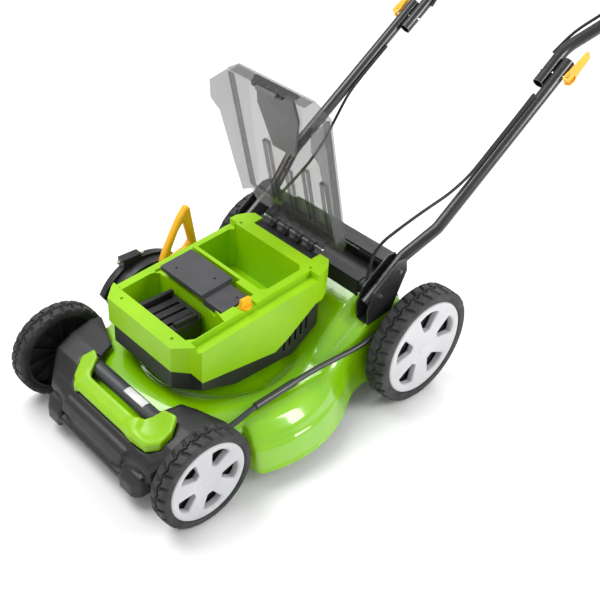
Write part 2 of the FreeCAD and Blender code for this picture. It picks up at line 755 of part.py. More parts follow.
side_notches = [sloped_box((108, 150), (-204, 84), side_drop), sloped_box((-150, -108), (-204, 84), side_drop)]
under_bays = upright([
    (-(housing_half - wall), -196), (housing_half - wall, -196), (housing_half - wall, 96), (-(housing_half - wall), 96),
], 150, bay_floor - wall)
front_bay = upright([
    (-104, -206), (96, -206), (106, -192), (106, -126), (44, -112), (-106, -112), (-112, -130), (-112, -196),
], bay_floor, 400)
rear_bay = upright([
    (-116, -22), (82, -22), (92, -10), (92, 70), (82, 80), (-106, 80), (-116, 70),
], bay_floor, 400)
middle_gap = upright([(-114, -104), (36, -104), (36, -30), (-114, -30)], bay_floor, 400)
bracket_seat = box((-114, 86), (-118, -40), (280, 400))
key_seat = box((84, 112), (-88, -52), (297, 400))
key_hole = box((91.5, 104.5), (-76.5, -63.5), (270, 300))
hinge_bed = box((-84, 84), (housing_back - 24, housing_back + 20), (hinge_level - 14, 400))
hole_places = [(76, -220), (-76, -220), (102, 90), (-102, 90)]
rim_holes = [rod(3.2, 80, "z", x, y, 258) for x, y in hole_places]
rear_tub = box((-117.8, 95.5), (-25.5, 83.5), (bay_floor - wall, 262))
housing_cut = cut(
    fuse(shell_block, rear_tub), *side_notches, under_bays, front_bay, rear_bay, middle_gap,
    bracket_seat, key_seat, key_hole, hinge_bed, *rim_holes,
)
keep(housing_cut, "motor_housing")

base_plan = mirrored_plan([
    (88, -232), (112, -210), (124, -192), (124, 96), (100, 120),
])
base_side = across([
    (-240, 186), (-214, 186), (-196, 182), (-110, 152), (30, 150), (60, 168), (112, 206), (140, 226),
    (140, 262), (82, 252),
    (12, 200), (-18, 184), (-194, 204), (-212, 230), (-240, 232),
], 400)
base_block = common(upright(base_plan, 120, 300), base_side)
base_hollow = upright([(-118, -190), (118, -190), (118, 92), (96, 112), (-96, 112), (-118, 92)], 100, 300)
vent_slots = []
for i in range(5):
    slot_y = 8 + 14 * i
    slot_low = 168 + 7 * i
    vent_slots.append(across([
        (slot_y, slot_low), (slot_y + 5, slot_low), (slot_y + 5, slot_low + 32), (slot_y, slot_low + 28),
    ], 300))
keep(clear_of_deck(cut(base_block, base_hollow, *vent_slots)), "housing_base")

bracket_top = across([
    (-116, 304), (-42, 312), (-42, 304), (-60, 300), (-60, 292), (-100, 288), (-100, 294), (-116, 296),
], 124, -34)
bracket_step = across([(-112, 296), (-50, 303), (-50, 290), (-112, 283)], 56, 56)
bracket_legs = box((-96, -84), (-100, -50), (bay_floor, 300))
bracket_block = fuse(bracket_top, bracket_step, bracket_legs)
bracket_screws = [rod(2.6, 60, "z", x, y, 270) for x, y in ((-70, -98), (6, -66), (70, -66))]
keep(cut(bracket_block, *bracket_screws), "battery_bracket")

socket_block = upright([(-62, -200), (26, -200), (38, -184), (38, -124), (28, -116), (-62, -116)], bay_floor, 262)
socket_slots = [box((-52 + 22 * i, -46 + 22 * i), (-190, -124), (248, 280)) for i in range(4)]
socket_rails = [box((-60, -52), (-198, -118), (255, 272)), box((26, 34), (-180, -128), (255, 272))]
keep(cut(fuse(socket_block, *socket_rails), *socket_slots), "battery_socket")

key_ledge = 297
key_stem = box((92, 104), (-76, -64), (key_ledge - 22, key_ledge + 2))
key_wing = across([(-82, key_ledge), (-58, key_ledge), (-60, key_ledge + 20), (-80, key_ledge + 20)], 8, 98)
key_collar = centred_rod(12, 4, "z", 98, -70, key_ledge + 2.3)
keep(fuse(key_stem, key_wing, key_collar), "safety_key")

screws = []
for x, y in hole_places:
    level = rim_front.value + (y - housing_front.value) * rim_slope
    screws.append(rod(2.9, 16, "z", x, y, level - 20))
for side in (-1, 1):
    for y in (188, 239):
        start = bracket_half.value - 16.5 if side > 0 else -(bracket_half.value + 21)
        screws.append(rod(4, 37.5, "x", start, y, handle_level(y)))
for side in (-1, 1):
    start = handle_half.value - 42 if side > 0 else -(handle_half.value + 18)
    screws.append(rod(4, 60, "x", start, fold_place.value, handle_level(fold_place.value)))
keep(group(*screws), "fasteners")

# ---------------------------------------------------------------- lid and its hinge

lid_turn = Rotation(X_AXIS, rim_tilt - lid_opening.value)
lid_plan = mirrored_plan([
    (98, -lid_length), (135.5, -lid_length + 22), (135.5, -34), (122, -9), (84, -9),
])
lid_plate = upright(lid_plan, 14, 16.5)
skirts = []
for side in (-1, 1):
    skirt = across([
        (-36, 15), (-lid_length + 24, 15), (-lid_length + 24, -30), (-lid_length + 60, -36),
        (-lid_length + 96, -22), (-120, -14), (-48, -8),
    ], 2.5, side * 134)
    skirts.append(skirt)
front_lip = box((-96, 96), (-lid_length, -lid_length + 2.5), (-7, 15))
knuckles = []
for x in (-72, -36, 0, 36, 72):
    knuckle = fuse(
        centred_rod(7, 16, "x", x, 0, 0),
        box((x - 8, x + 8), (-14, -3), (0, 16.5)),
    )
    knuckles.append(knuckle)
lid_bore = centred_rod(pin_radius + running_gap, 200, "x")
keep(cut(fuse(lid_plate, front_lip, *skirts, *knuckles), lid_bore), "lid",
     0, hinge_back, hinge_level, lid_turn)
panel_plan = mirrored_plan([(46, -lid_length + 8), (54, -lid_length + 60), (30, -lid_length + 148)])
panel_plate = upright(panel_plan, 8, 14)
panel_latch = box((-26, 26), (-lid_length + 4, -lid_length + 12), (-12, 14))
keep(fuse(panel_plate, panel_latch), "lid_panel", 0, hinge_back, hinge_level, lid_turn)

hinge_ears = []
for x in (-54, -18, 18, 54):
    ear = fuse(
        centred_rod(7, 14, "x", x, hinge_back, hinge_level),
        box((x - 7, x + 7), (hinge_back - 16, hinge_back), (hinge_level - 13, hinge_level - 2)),
    )
    hinge_ears.append(ear)
ear_bore = centred_rod(pin_radius, 200, "x", 0, hinge_back, hinge_level)
keep(cut(fuse(box((-84, 84), (hinge_back - 30, hinge_back - 8), (hinge_level - 13.5, hinge_level - 9)), *hinge_ears),
         ear_bore), "hinge_ears")

# ---------------------------------------------------------------- rear flap

flap_hinge = (256, 280)
flap_turn = 25
flap_plate = across([(2, -6), (6, -6), (8, -150), (14, -168), (10, -170), (3, -152)], 300)
flap_barrel = [centred_rod(6.5, 60, "x", x, 0, 0) for x in (-110, 0, 110)]
flap_webs = [box((x - 30, x + 30), (-2, 6), (-12, 0)) for x in (-110, 0, 110)]
flap_top = across([(-2, 9.8), (-0.8, 12.5), (39.5, -13), (36.5, -15.5)], 300)
flap_back = across([(36.5, -15.5), (39.5, -13), (8, -82), (5, -82)], 300)
flap_bore = centred_rod(pin_radius + running_gap, 400, "x")
keep(cut(fuse(flap_plate, flap_top, flap_back, *flap_barrel, *flap_webs), flap_bore), "rear_flap",
     0, flap_hinge[0], flap_hinge[1], Rotation(X_AXIS, flap_turn))
door_hinge = (-(hood_out + 11), hood_top + 7)
rods = [
    centred_rod(pin_radius, 172, "x", 0, hinge_back, hinge_level),
    centred_rod(pin_radius, 312, "x", 0, flap_hinge[0], flap_hinge[1]),
    rod(pin_radius, 66, "y", door_hinge[0], bowl_centre - 62, door_hinge[1]),
]
keep(group(*rods), "hinge_rods")

# ---------------------------------------------------------------- front bumper

bumper_plan = [
    (-176, -262), (-176, -300), (-150, -338), (-60, -356), (60, -356), (150, -338), (176, -300), (176, -262),
]
bumper_side = across([
    (-262, 52), (-300, 40), (-340, 34), (-358, 40), (-358, 66), (-346, 96), (-322, 116),
    (-300, 112), (-262, 92),
], 420)
bumper_block = common(upright(bumper_plan, 20, 200), bumper_side)
bumper_hollow = across([(-264, 30), (-264, 84), (-300, 104), (-330, 90), (-338, 50), (-320, 30)], 330)
cheek_plan = [(104, -262), (112, -230), (200, -192), (203, -216), (190, -300), (150, -340), (104, -320)]
cheek_side = across([
    (-344, 96), (-322, 120), (-300, 142), (-262, 156), (-215, 162), (-188, 156),
    (-188, 150), (-215, 156), (-262, 150), (-296, 136), (-318, 114), (-338, 92),
], 430)
cheeks = []
for side in (-1, 1):
    cheek = common(upright([(side * x, y) for x, y in cheek_plan], 60, 200), cheek_side)
    cheeks.append(cheek)
    cheeks.append(across([(-338, 60), (-338, 100), (-300, 140), (-262, 153), (-262, 60)], 6, side * 164))
feet = [box((x - 18, x + 18), (-352, -330), (30, 72)) for x in (-124, 124)]


def grip_block(drop=0):
    """The green carrying grip, or the seat it needs in the bumper."""
    return common(upright(grip_plan, 60, 200), across([(y, z - drop) for y, z in grip_side], 400))


grip_plan = [
    (-150, -258), (-158, -300), (-136, -328), (-96, -330), (-70, -326), (70, -326), (96, -330),
    (136, -328), (158, -300), (150, -258), (116, -262), (96, -294), (70, -300),
    (-70, -300), (-96, -294), (-116, -262),
]
grip_side = [
    (-332, 122), (-326, 118), (-296, 138), (-256, 154), (-256, 162), (-296, 152), (-318, 142), (-332, 130),
]
bumper_shell = fuse(cut(bumper_block, bumper_hollow), *cheeks, *feet)
bar_place = (-272, 137)


def bar_block():
    """The round bar behind the grip, with a collar at each end."""
    collars = [centred_rod(18, 10, "x", side * 100, *bar_place) for side in (-1, 1)]
    return fuse(centred_rod(15, 190, "x", 0, *bar_place), *collars)


keep(clear_of_deck(cut(bumper_shell, grip_block(), bar_block()), 1), "front_bumper")
keep(cut(grip_block(), bar_block()), "front_grip")
keep(clear_of_deck(bar_block()), "front_bar")

# ---------------------------------------------------------------- handle


def tube_point(x, y):
    return (x, y, handle_level(y))


inner_x = bracket_half.value
outer_x = handle_half.value
lower_tubes = []
for side in (-1, 1):
    lower_points = [
        tube_point(side * inner_x, 165), tube_point(side * inner_x, 262),
        tube_point(side * outer_x, 330), tube_point(side * outer_x, 684),
    ]
    lower_tubes.append(pipe(lower_points, [60, 60], tube_radius, 10.5))
bolt_bores = []
for y in (188, 239):
    bolt_bores.append(Part.makeCylinder(4, 500, Vector(-250, y, handle_level(y)), X_AXIS))
fold_y = fold_place.value
bolt_bores.append(Part.makeCylinder(4, 600, Vector(-300, fold_y, handle_level(fold_y)), X_AXIS))
lower_tube = Part.makeCompound([tube.cut(bolt_bores) for tube in lower_tubes])
keep(feature(lower_tube, "lower_tubes"), "lower_handle")

brackets = []
for side in (-1, 1):
    for gap in (-14.5, 14.5):
        plate = across([
            (162, 202.6), (228, 211.7), (262, 292), (256, 322), (232, 322), (170, 276), (156, 240),
        ], 3, side * (bracket_half + gap))
        brackets.append(plate)
    brackets.append(across([(162, 206), (228, 215), (228, 211.7), (162, 202.6)], 32, side * bracket_half))
bracket_bores = [centred_rod(4, 500, "x", 0, y, handle_level(y)) for y in (188, 239)]
left_bracket = cut(fuse(*brackets[:3]), bracket_bores[0], bracket_bores[1])
right_bores = [centred_rod(4, 500, "x", 0, y, handle_level(y)) for y in (188, 239)]
right_bracket = cut(fuse(*brackets[3:]), *right_bores)
keep(group(left_bracket, right_bracket), "handle_brackets")

fold_x = outer_x - 26
upper_x = outer_x + 26
upper_points = [
    tube_point(fold_x, 628), tube_point(fold_x, 706), tube_point(upper_x, 800), tube_point(upper_x, 1040),
    (upper_x, 1150, handle_level(1040) + 40), (-upper_x, 1150, handle_level(1040) + 40),
    tube_point(-upper_x, 1040), tube_point(-upper_x, 800), tube_point(-fold_x, 706), tube_point(-fold_x, 628),
]
upper_radii = [90, 90, 70, 60, 60, 70, 90, 90]
upper_tube = pipe(upper_points, upper_radii, tube_radius, 10.5)
fold_bore = Part.makeCylinder(4 + running_gap.value, 600, Vector(-300, fold_y, handle_level(fold_y)), X_AXIS)
top_y = 1150
top_z = handle_level(1040) + 40
bail_pivot = (1085, handle_level(1040) + 40 * 45 / 110)
bail_pins = []
for side in (-1, 1):
    bail_pins.append(Part.makeCylinder(4, 20, Vector(side * 249 - 10, *bail_pivot), X_AXIS))
tube_core = pipe(upper_points, upper_radii, 10.5)
upper_solid = upper_tube.cut(fold_bore).fuse([pin.cut(tube_core) for pin in bail_pins])
keep(feature(upper_solid.removeSplitter(), "upper_tube"), "upper_handle")
keep(tube_ring(17, tube_radius, 250, "x", 0, top_y, top_z), "handle_grip")

# Switch box, its start button and the bail lever on the upper handle.
box_x = (146, 196)
box_y = (1106, 1160)
box_z = (top_z - 26, top_z + 18)
switch_shell = box(box_x, box_y, box_z)
tube_way = centred_rod(tube_radius, 120, "x", 171, top_y, top_z)
button_way = rod(9.3, 20, "z", 171, 1124, box_z[1] - 14)
keep(cut(round_edges(switch_shell, 6, runs_along(X_AXIS)), tube_way, button_way), "switch_box")
button = turned([(0, 0), (9, 0), (9, 16), (8, 17.5), (0, 18)])
keep(button, "start_button", 171, 1124, box_z[1] - 9)

bail_open = math.radians(55)
bail_reach = 95
bail_end = (bail_pivot[0] + bail_reach * math.cos(bail_open), bail_pivot[1] + bail_reach * math.sin(bail_open))
bail_x = 252
bail_start = (bail_pivot[0] + 8 * math.cos(bail_open), bail_pivot[1] + 8 * math.sin(bail_open))
bail_wire = pipe([
    (bail_x, *bail_start), (bail_x, *bail_end), (-bail_x, *bail_end), (-bail_x, *bail_start),
], [28, 28], 4)
for side in (-1, 1):
    boss = Part.makeCylinder(9, 10, Vector(side * bail_x - 5, *bail_pivot), X_AXIS)
    bail_wire = bail_wire.fuse(boss)
bail_wire = bail_wire.cut(Part.makeCylinder(4.05, 540, Vector(-270, *bail_pivot), X_AXIS))
keep(feature(bail_wire, "bail_wire"), "bail_lever")
# Quick-release cam levers that clamp the fold joint.
cam_x = 229
along_tube = Vector(0, math.cos(math.radians(handle_tilt.value)), math.sin(math.radians(handle_tilt.value)))


def cam_frame(side):
    """Local X up the tube, local Y outwards, local Z along the cam pin."""
    return Rotation(along_tube, X_AXIS * side, along_tube.cross(X_AXIS * side), "ZXY")


for side, cam_name in ((1, "cam_lever_left"), (-1, "cam_lever_right")):
    cam_body = upright([
        (-11, -2), (-7, -7.5), (7, -7.5), (14, -6), (64, -2), (70, 2), (66, 6), (20, 8), (4, 11), (-7, 9),
    ], -8, 8)
    cam_slot = box((-12, 12), (-12, 14), (-4.5, 4.5))
    cam_bore = rod(3.05, 40, "z", 0, 0, -20)
    keep(cut(cam_body, cam_slot, cam_bore), cam_name,
         side * cam_x, fold_y, handle_level(fold_y), cam_frame(side))

# ---------------------------------------------------------------- cables

CABLE_RADIUS = 3.2
left_cable = [
    (163.5, 172, 242), (163.5, 184, 268), (163.5, 189, 302), (166, 192, 338), (174, 208, 368), (183, 250, 390),
    (190, 306, 410), (196, 364, 426), (199, 418, 450), (199, 470, 488), (199, 530, 531), (199, 590, 576),
]
right_cable = [
    (-163.5, 182, 246), (-163.5, 214, 266), (-163.5, 256, 300), (-168, 300, 318), (-178, 350, 336), (-186, 400, 368),
    (-190, 440, 418), (-190, 474, 467), (-190, 520, 503), (-190, 584, 549),
]
for cable_name, cable_points in (("bail_cable", left_cable), ("power_cable", right_cable)):
    cable_radii = limp_radii(cable_points)
    print(cable_name, "radii", [round(radius) for radius in cable_radii])
    keep(feature(pipe(cable_points, cable_radii, CABLE_RADIUS), cable_name), cable_name)

left_upper = [
    (163, 690), (171, 740), (202, 796), (214, 850), (216, 940), (213, 1026),
]
upper_ends = {
    1: [(202, 1068, handle_level(1040) + 11), (180, 1103.5, handle_level(1040) + 24)],
    -1: [(-214, 1050, handle_level(1040) + 5), (-217.5, 1076, handle_level(1040) + 14)],
}
upper_runs = []
for side, last_points in upper_ends.items():
    route = [tube_point(side * x, y) for x, y in left_upper] + last_points
    upper_run = pipe(route, limp_radii(route), CABLE_RADIUS)
    upper_runs.append(upper_run.cut(pipe(upper_points, upper_radii, tube_radius)))
keep(feature(Part.makeCompound(upper_runs), "upper_cables"), "upper_cables")

fittings = []
for cable_points in (left_cable, right_cable):
    entry = Vector(*cable_points[0])
    inwards = (entry - Vector(*cable_points[1])).normalize()
    grommet = Part.makeCylinder(4.5, 10, entry, inwards)
    fittings.append(clear_of_deck(feature(grommet, "grommet")))
keep(group(*fittings), "cable_fittings")

# ---------------------------------------------------------------- check and write

doc.recompute()
for item in doc.Objects:
    if "Invalid" in item.State or "Error" in item.State:
        raise RuntimeError(f"{item.Name} ({item.Label}) failed: {item.State}")
os.makedirs("parts", exist_ok=True)
for item in sub_parts:
    if item.Shape.isNull() or not item.Shape.isValid():
        raise RuntimeError(f"{item.Label} has no valid shape")
    item.Shape.exportStep(f"parts/{item.Label}.step")
whole = sub_parts[0].Shape.BoundBox
for item in sub_parts[1:]:
    whole.add(item.Shape.BoundBox)
print("sub-parts", len(sub_parts))
print("box", [round(value, 1) for value in (whole.XMin, whole.XMax, whole.YMin, whole.YMax, whole.ZMin, whole.ZMax)])
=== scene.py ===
import json
import math

import bpy
import numpy as np
from mathutils import Matrix, Vector


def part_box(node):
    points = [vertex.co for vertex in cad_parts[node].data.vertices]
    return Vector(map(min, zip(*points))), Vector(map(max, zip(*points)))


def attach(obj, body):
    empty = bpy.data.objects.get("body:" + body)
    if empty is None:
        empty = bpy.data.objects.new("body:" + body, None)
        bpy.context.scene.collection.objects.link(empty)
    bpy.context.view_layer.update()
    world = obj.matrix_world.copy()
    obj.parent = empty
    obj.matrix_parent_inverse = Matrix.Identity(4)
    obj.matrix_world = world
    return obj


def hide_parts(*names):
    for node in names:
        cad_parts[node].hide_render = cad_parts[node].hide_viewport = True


# A cordless lawn mower on a pale studio floor.
# Shapes are drawn in millimetres in the deck frame: +X to the operator's left, +Y towards the
# operator, +Z up, with its origin on the ground midway between the axles. `to_row` carries
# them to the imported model's frame, in metres.

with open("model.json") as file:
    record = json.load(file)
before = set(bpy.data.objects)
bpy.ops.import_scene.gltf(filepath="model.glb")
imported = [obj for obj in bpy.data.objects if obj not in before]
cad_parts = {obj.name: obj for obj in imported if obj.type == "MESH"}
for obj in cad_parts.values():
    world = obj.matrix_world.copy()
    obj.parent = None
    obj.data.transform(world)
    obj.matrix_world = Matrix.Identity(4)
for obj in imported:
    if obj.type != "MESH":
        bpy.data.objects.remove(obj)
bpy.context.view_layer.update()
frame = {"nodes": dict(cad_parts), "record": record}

MM = 0.001


def middle(node):
    """Centre of a CAD node's box, in metres."""
    low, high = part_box(node)
    return (low + high) / 2


SHIFT = (middle("front_left_tyre").y + middle("rear_left_tyre").y) / 2


def to_row(points):
    """Millimetres in the deck frame to metres in the row frame."""
    points = np.asarray(points, float).reshape(-1, 3) * MM
    points[:, 1] += SHIFT
    return points


# ---------------------------------------------------------------- materials

def socket(node, name, value):
    """Sets a constant on one of a node's inputs."""
    node.inputs[name].default_value = value


def shader(name, colour, roughness, metallic=0.0, coat=0.0, coat_roughness=0.1, transmission=0.0,
           alpha=1.0, specular=0.5):
    """A material with one Principled shader; returns the material, its tree and the shader."""
    material = bpy.data.materials.new(name)
    material.use_nodes = True
    tree = material.node_tree
    main = tree.nodes["Principled BSDF"]
    socket(main, "Base Color", (*colour, 1))
    socket(main, "Roughness", roughness)
    socket(main, "Metallic", metallic)
    socket(main, "Coat Weight", coat)
    socket(main, "Coat Roughness", coat_roughness)
    socket(main, "Transmission Weight", transmission)
    socket(main, "Alpha", alpha)
    socket(main, "Specular IOR Level", specular)
    return material, tree, main


def noise(tree, scale, detail=3.0, stretch=(1, 1, 1)):
    """Procedural noise in object space; scale is per metre."""
    place = tree.nodes.new("ShaderNodeTexCoord")
    mapping = tree.nodes.new("ShaderNodeMapping")
    socket(mapping, "Scale", stretch)
    texture = tree.nodes.new("ShaderNodeTexNoise")
    socket(texture, "Scale", scale)
    socket(texture, "Detail", detail)
    tree.links.new(place.outputs["Object"], mapping.inputs["Vector"])
    tree.links.new(mapping.outputs["Vector"], texture.inputs["Vector"])
    return texture.outputs["Fac"]


def ramp(tree, source, low, high):
    """Maps 0.3..0.7 of a source to two colours or grey values."""
    node = tree.nodes.new("ShaderNodeValToRGB")
    for element, position, value in zip(node.color_ramp.elements, (0.3, 0.7), (low, high)):
        element.position = position
        element.color = (*np.broadcast_to(value, 3), 1)
    tree.links.new(source, node.inputs["Fac"])
    return node.outputs["Color"]


def bump(tree, main, source, strength, distance, under=None):
    """Adds a bump; under is the normal of an earlier bump."""
    node = tree.nodes.new("ShaderNodeBump")
    socket(node, "Strength", strength)
    socket(node, "Distance", distance)
    tree.links.new(source, node.inputs["Height"])
    if under is not None:
        tree.links.new(under, node.inputs["Normal"])
    tree.links.new(node.outputs["Normal"], main.inputs["Normal"])
    return node.outputs["Normal"]


def vary(tree, main, name, source, low, high):
    """Lets a shader input drift between two values."""
    tree.links.new(ramp(tree, source, low, high), main.inputs[name])


def deck_paint():
    """Glossy powder coat: slight orange peel and faint colour drift."""
    middle_green = (0.24, 0.56, 0.0)
    material, tree, main = shader("deck_paint", middle_green, 0.22, coat=0.9, coat_roughness=0.04)
    vary(tree, main, "Base Color", noise(tree, 9), (0.20, 0.52, 0.0), (0.27, 0.59, 0.0))
    vary(tree, main, "Roughness", noise(tree, 40), 0.18, 0.26)
    bump(tree, main, noise(tree, 420, 2), 0.06, 0.0006)
    return material


def moulded(name, low, high, rough_low, rough_high, grain=900, depth=0.16, specular=0.5):
    """Moulded plastic: fine spark-eroded grain, with colour and gloss drifting slightly."""
    material, tree, main = shader(name, low, rough_low, specular=specular)
    vary(tree, main, "Base Color", noise(tree, 14), low, high)
    vary(tree, main, "Roughness", noise(tree, 60), rough_low, rough_high)
    fine = bump(tree, main, noise(tree, grain, 2), depth, 0.0004)
    bump(tree, main, noise(tree, grain / 6, 3), depth / 3, 0.0008, fine)
    return material


def metal(name, low, high, rough_low, rough_high, stretch=(1, 1, 1), scale=500):
    """Bare or plated metal with machining or rolling marks."""
    material, tree, main = shader(name, low, rough_low, metallic=1.0)
    vary(tree, main, "Base Color", noise(tree, 30), low, high)
    vary(tree, main, "Roughness", noise(tree, scale, 3, stretch), rough_low, rough_high)
    bump(tree, main, noise(tree, scale, 3, stretch), 0.08, 0.0003)
    return material


def tube_paint(name, roughness):
    """Black powder coat over steel: fine texture under a thin gloss."""
    low = (0.010, 0.010, 0.011)
    high = (0.018, 0.018, 0.02)
    material, tree, main = shader(name, low, roughness, coat=0.35, coat_roughness=0.15)
    vary(tree, main, "Base Color", noise(tree, 25), low, high)
    vary(tree, main, "Roughness", noise(tree, 90), roughness, roughness + 0.08)
    bump(tree, main, noise(tree, 1200, 2), 0.1, 0.0003)
    return material


def rubber(name, low, high, rough_low, rough_high):
    """Rubber: tone and gloss drifting at random towards a worn grey, with fine grain."""
    material, tree, main = shader(name, low, rough_low, specular=0.35)
    vary(tree, main, "Base Color", noise(tree, 35, 5), low, high)
    vary(tree, main, "Roughness", noise(tree, 110), rough_low, rough_high)
    fine = bump(tree, main, noise(tree, 1500, 2), 0.2, 0.0003)
    bump(tree, main, noise(tree, 160, 4), 0.12, 0.0008, fine)
    return material


def smoked():
    """Smoked clear plastic with faint moulding waves."""
    material, tree, main = shader("smoked_lid", (0.07, 0.066, 0.072), 0.06, alpha=0.42, coat=0.2)
    vary(tree, main, "Roughness", noise(tree, 8), 0.04, 0.10)
    bump(tree, main, noise(tree, 30, 2), 0.03, 0.001)
    return material


MATERIALS = {
    "deck_paint": deck_paint(),
    "green_plastic": moulded(
        "green_plastic", (0.26, 0.55, 0.0), (0.31, 0.60, 0.0), 0.30, 0.38, depth=0.06),
    "black_plastic": moulded(
        "black_plastic", (0.009, 0.009, 0.010), (0.016, 0.016, 0.017), 0.40, 0.52),
    "dark_grey_plastic": moulded(
        "dark_grey_plastic", (0.045, 0.045, 0.05), (0.06, 0.06, 0.066), 0.38, 0.5),
    "motor_alloy": metal("motor_alloy", (0.5, 0.5, 0.52), (0.6, 0.6, 0.62), 0.35, 0.5),
    "motor_iron": metal("motor_iron", (0.16, 0.16, 0.17), (0.22, 0.22, 0.23), 0.5, 0.6, (1, 1, 30)),
    "motor_steel": metal("motor_steel", (0.4, 0.4, 0.42), (0.5, 0.5, 0.52), 0.3, 0.4, (1, 1, 20)),
    "bright_steel": metal("bright_steel", (0.6, 0.6, 0.62), (0.7, 0.7, 0.72), 0.18, 0.32),
    "black_steel": tube_paint("black_steel", 0.4),
    "black_tube": tube_paint("black_tube", 0.24),
    "blade_steel": metal("blade_steel", (0.2, 0.2, 0.21), (0.3, 0.3, 0.31), 0.3, 0.45, (1, 12, 1)),
    "cable_jacket": rubber("cable_jacket", (0.012, 0.012, 0.013), (0.02, 0.02, 0.021), 0.45, 0.6),
    "black_rubber": rubber("black_rubber", (0.015, 0.015, 0.016), (0.022, 0.022, 0.023), 0.5, 0.65),
    "foam_grip": rubber("foam_grip", (0.016, 0.016, 0.017), (0.03, 0.03, 0.032), 0.8, 0.95),
    "orange_plastic": moulded(
        "orange_plastic", (0.93, 0.42, 0.008), (0.98, 0.50, 0.015), 0.28, 0.36, depth=0.05),
    "smoked_lid": smoked(),
    "tyre_rubber": rubber("tyre_rubber", (0.018, 0.018, 0.019), (0.05, 0.05, 0.052), 0.5, 0.75),
    "cap_plastic": moulded(
        "cap_plastic", (0.54, 0.54, 0.56), (0.62, 0.62, 0.64), 0.34, 0.42, depth=0.05),
}
# Finishes of one piece each, beside the material of its slot.
PANEL = moulded("lid_panel_grey", (0.12, 0.12, 0.125), (0.15, 0.15, 0.155), 0.4, 0.5, depth=0.05)
LABEL = moulded("blank_label", (0.78, 0.78, 0.78), (0.82, 0.82, 0.82), 0.4, 0.5, depth=0.03)


# ---------------------------------------------------------------- mesh helpers

def piece(name, points, faces, body, slot, replaces=(), material=None, angle=35):
    """A mesh piece from deck-frame points; edges over the angle stay crisp."""
    mesh = bpy.data.meshes.new(name)
    mesh.from_pydata(to_row(points).tolist(), [], [list(face) for face in faces])
    mesh.validate()
    mesh.update()
    item = bpy.data.objects.new(name, mesh)
    bpy.context.scene.collection.objects.link(item)
    mesh.materials.append(material or MATERIALS[slot])
    mesh.shade_smooth()
    if angle:
        mesh.set_sharp_from_angle(angle=math.radians(angle))
    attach(item, body)
    if replaces:
        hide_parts(*replaces)
    return item


def soften(item, width, angle=30):
    """Rounds the sharp edges of an item by a width in millimetres."""
    weld = item.modifiers.new("weld", "WELD")
    weld.merge_threshold = 0.00001
    bevel = item.modifiers.new("edges", "BEVEL")
    bevel.width = width * MM
    bevel.segments = 2
    bevel.limit_method = "ANGLE"
    bevel.angle_limit = math.radians(angle)
    bevel.use_clamp_overlap = True
    bevel.harden_normals = True


def thicken(item, thickness):
    """Gives an open sheet a thickness, inwards."""
    solid = item.modifiers.new("thickness", "SOLIDIFY")
    solid.thickness = thickness * MM
    solid.offset = -1


def flat_distance(u, v, outline):
    """Signed distance from points (u, v) to a closed outline, negative inside."""
    best = np.full(u.shape, 1e12)
    inside = np.zeros(u.shape, bool)
    count = len(outline)
    for i in range(count):
        u0, v0 = outline[i - 1]
        u1, v1 = outline[i]
        edge_u = u1 - u0
        edge_v = v1 - v0
        length = edge_u * edge_u + edge_v * edge_v
        share = np.clip(((u - u0) * edge_u + (v - v0) * edge_v) / length, 0, 1)
        best = np.minimum(best, (u - u0 - share * edge_u) ** 2 + (v - v0 - share * edge_v) ** 2)
        if v1 != v0:
            crossing = (v0 > v) != (v1 > v)
            side = u < (v - v0) * edge_u / edge_v + u0
            inside ^= crossing & side
    return np.where(inside, -1.0, 1.0) * np.sqrt(best)


def join(first, second, blend):
    """Smooth union of two distance fields."""
    share = np.clip(0.5 + 0.5 * (second - first) / blend, 0, 1)
    return second + (first - second) * share - blend * share * (1 - share)


def meet(first, second, blend):
    """Smooth intersection of two distance fields."""
    return -join(-first, -second, blend)


def carve(first, tool, blend):
    """Smooth cut of a tool from a field."""
    return meet(first, -tool, blend)


def block(x, y, z, low, high, rounding=0.0):
    """A box field with rounded edges."""
    centre = [(a + b) / 2 for a, b in zip(low, high)]
    half = [(b - a) / 2 - rounding for a, b in zip(low, high)]
    gaps = [np.abs(p - c) - h for p, c, h in zip((x, y, z), centre, half)]
    outside = np.sqrt(sum(np.maximum(gap, 0) ** 2 for gap in gaps))
    return outside + np.minimum(np.maximum(np.maximum(gaps[0], gaps[1]), gaps[2]), 0) - rounding


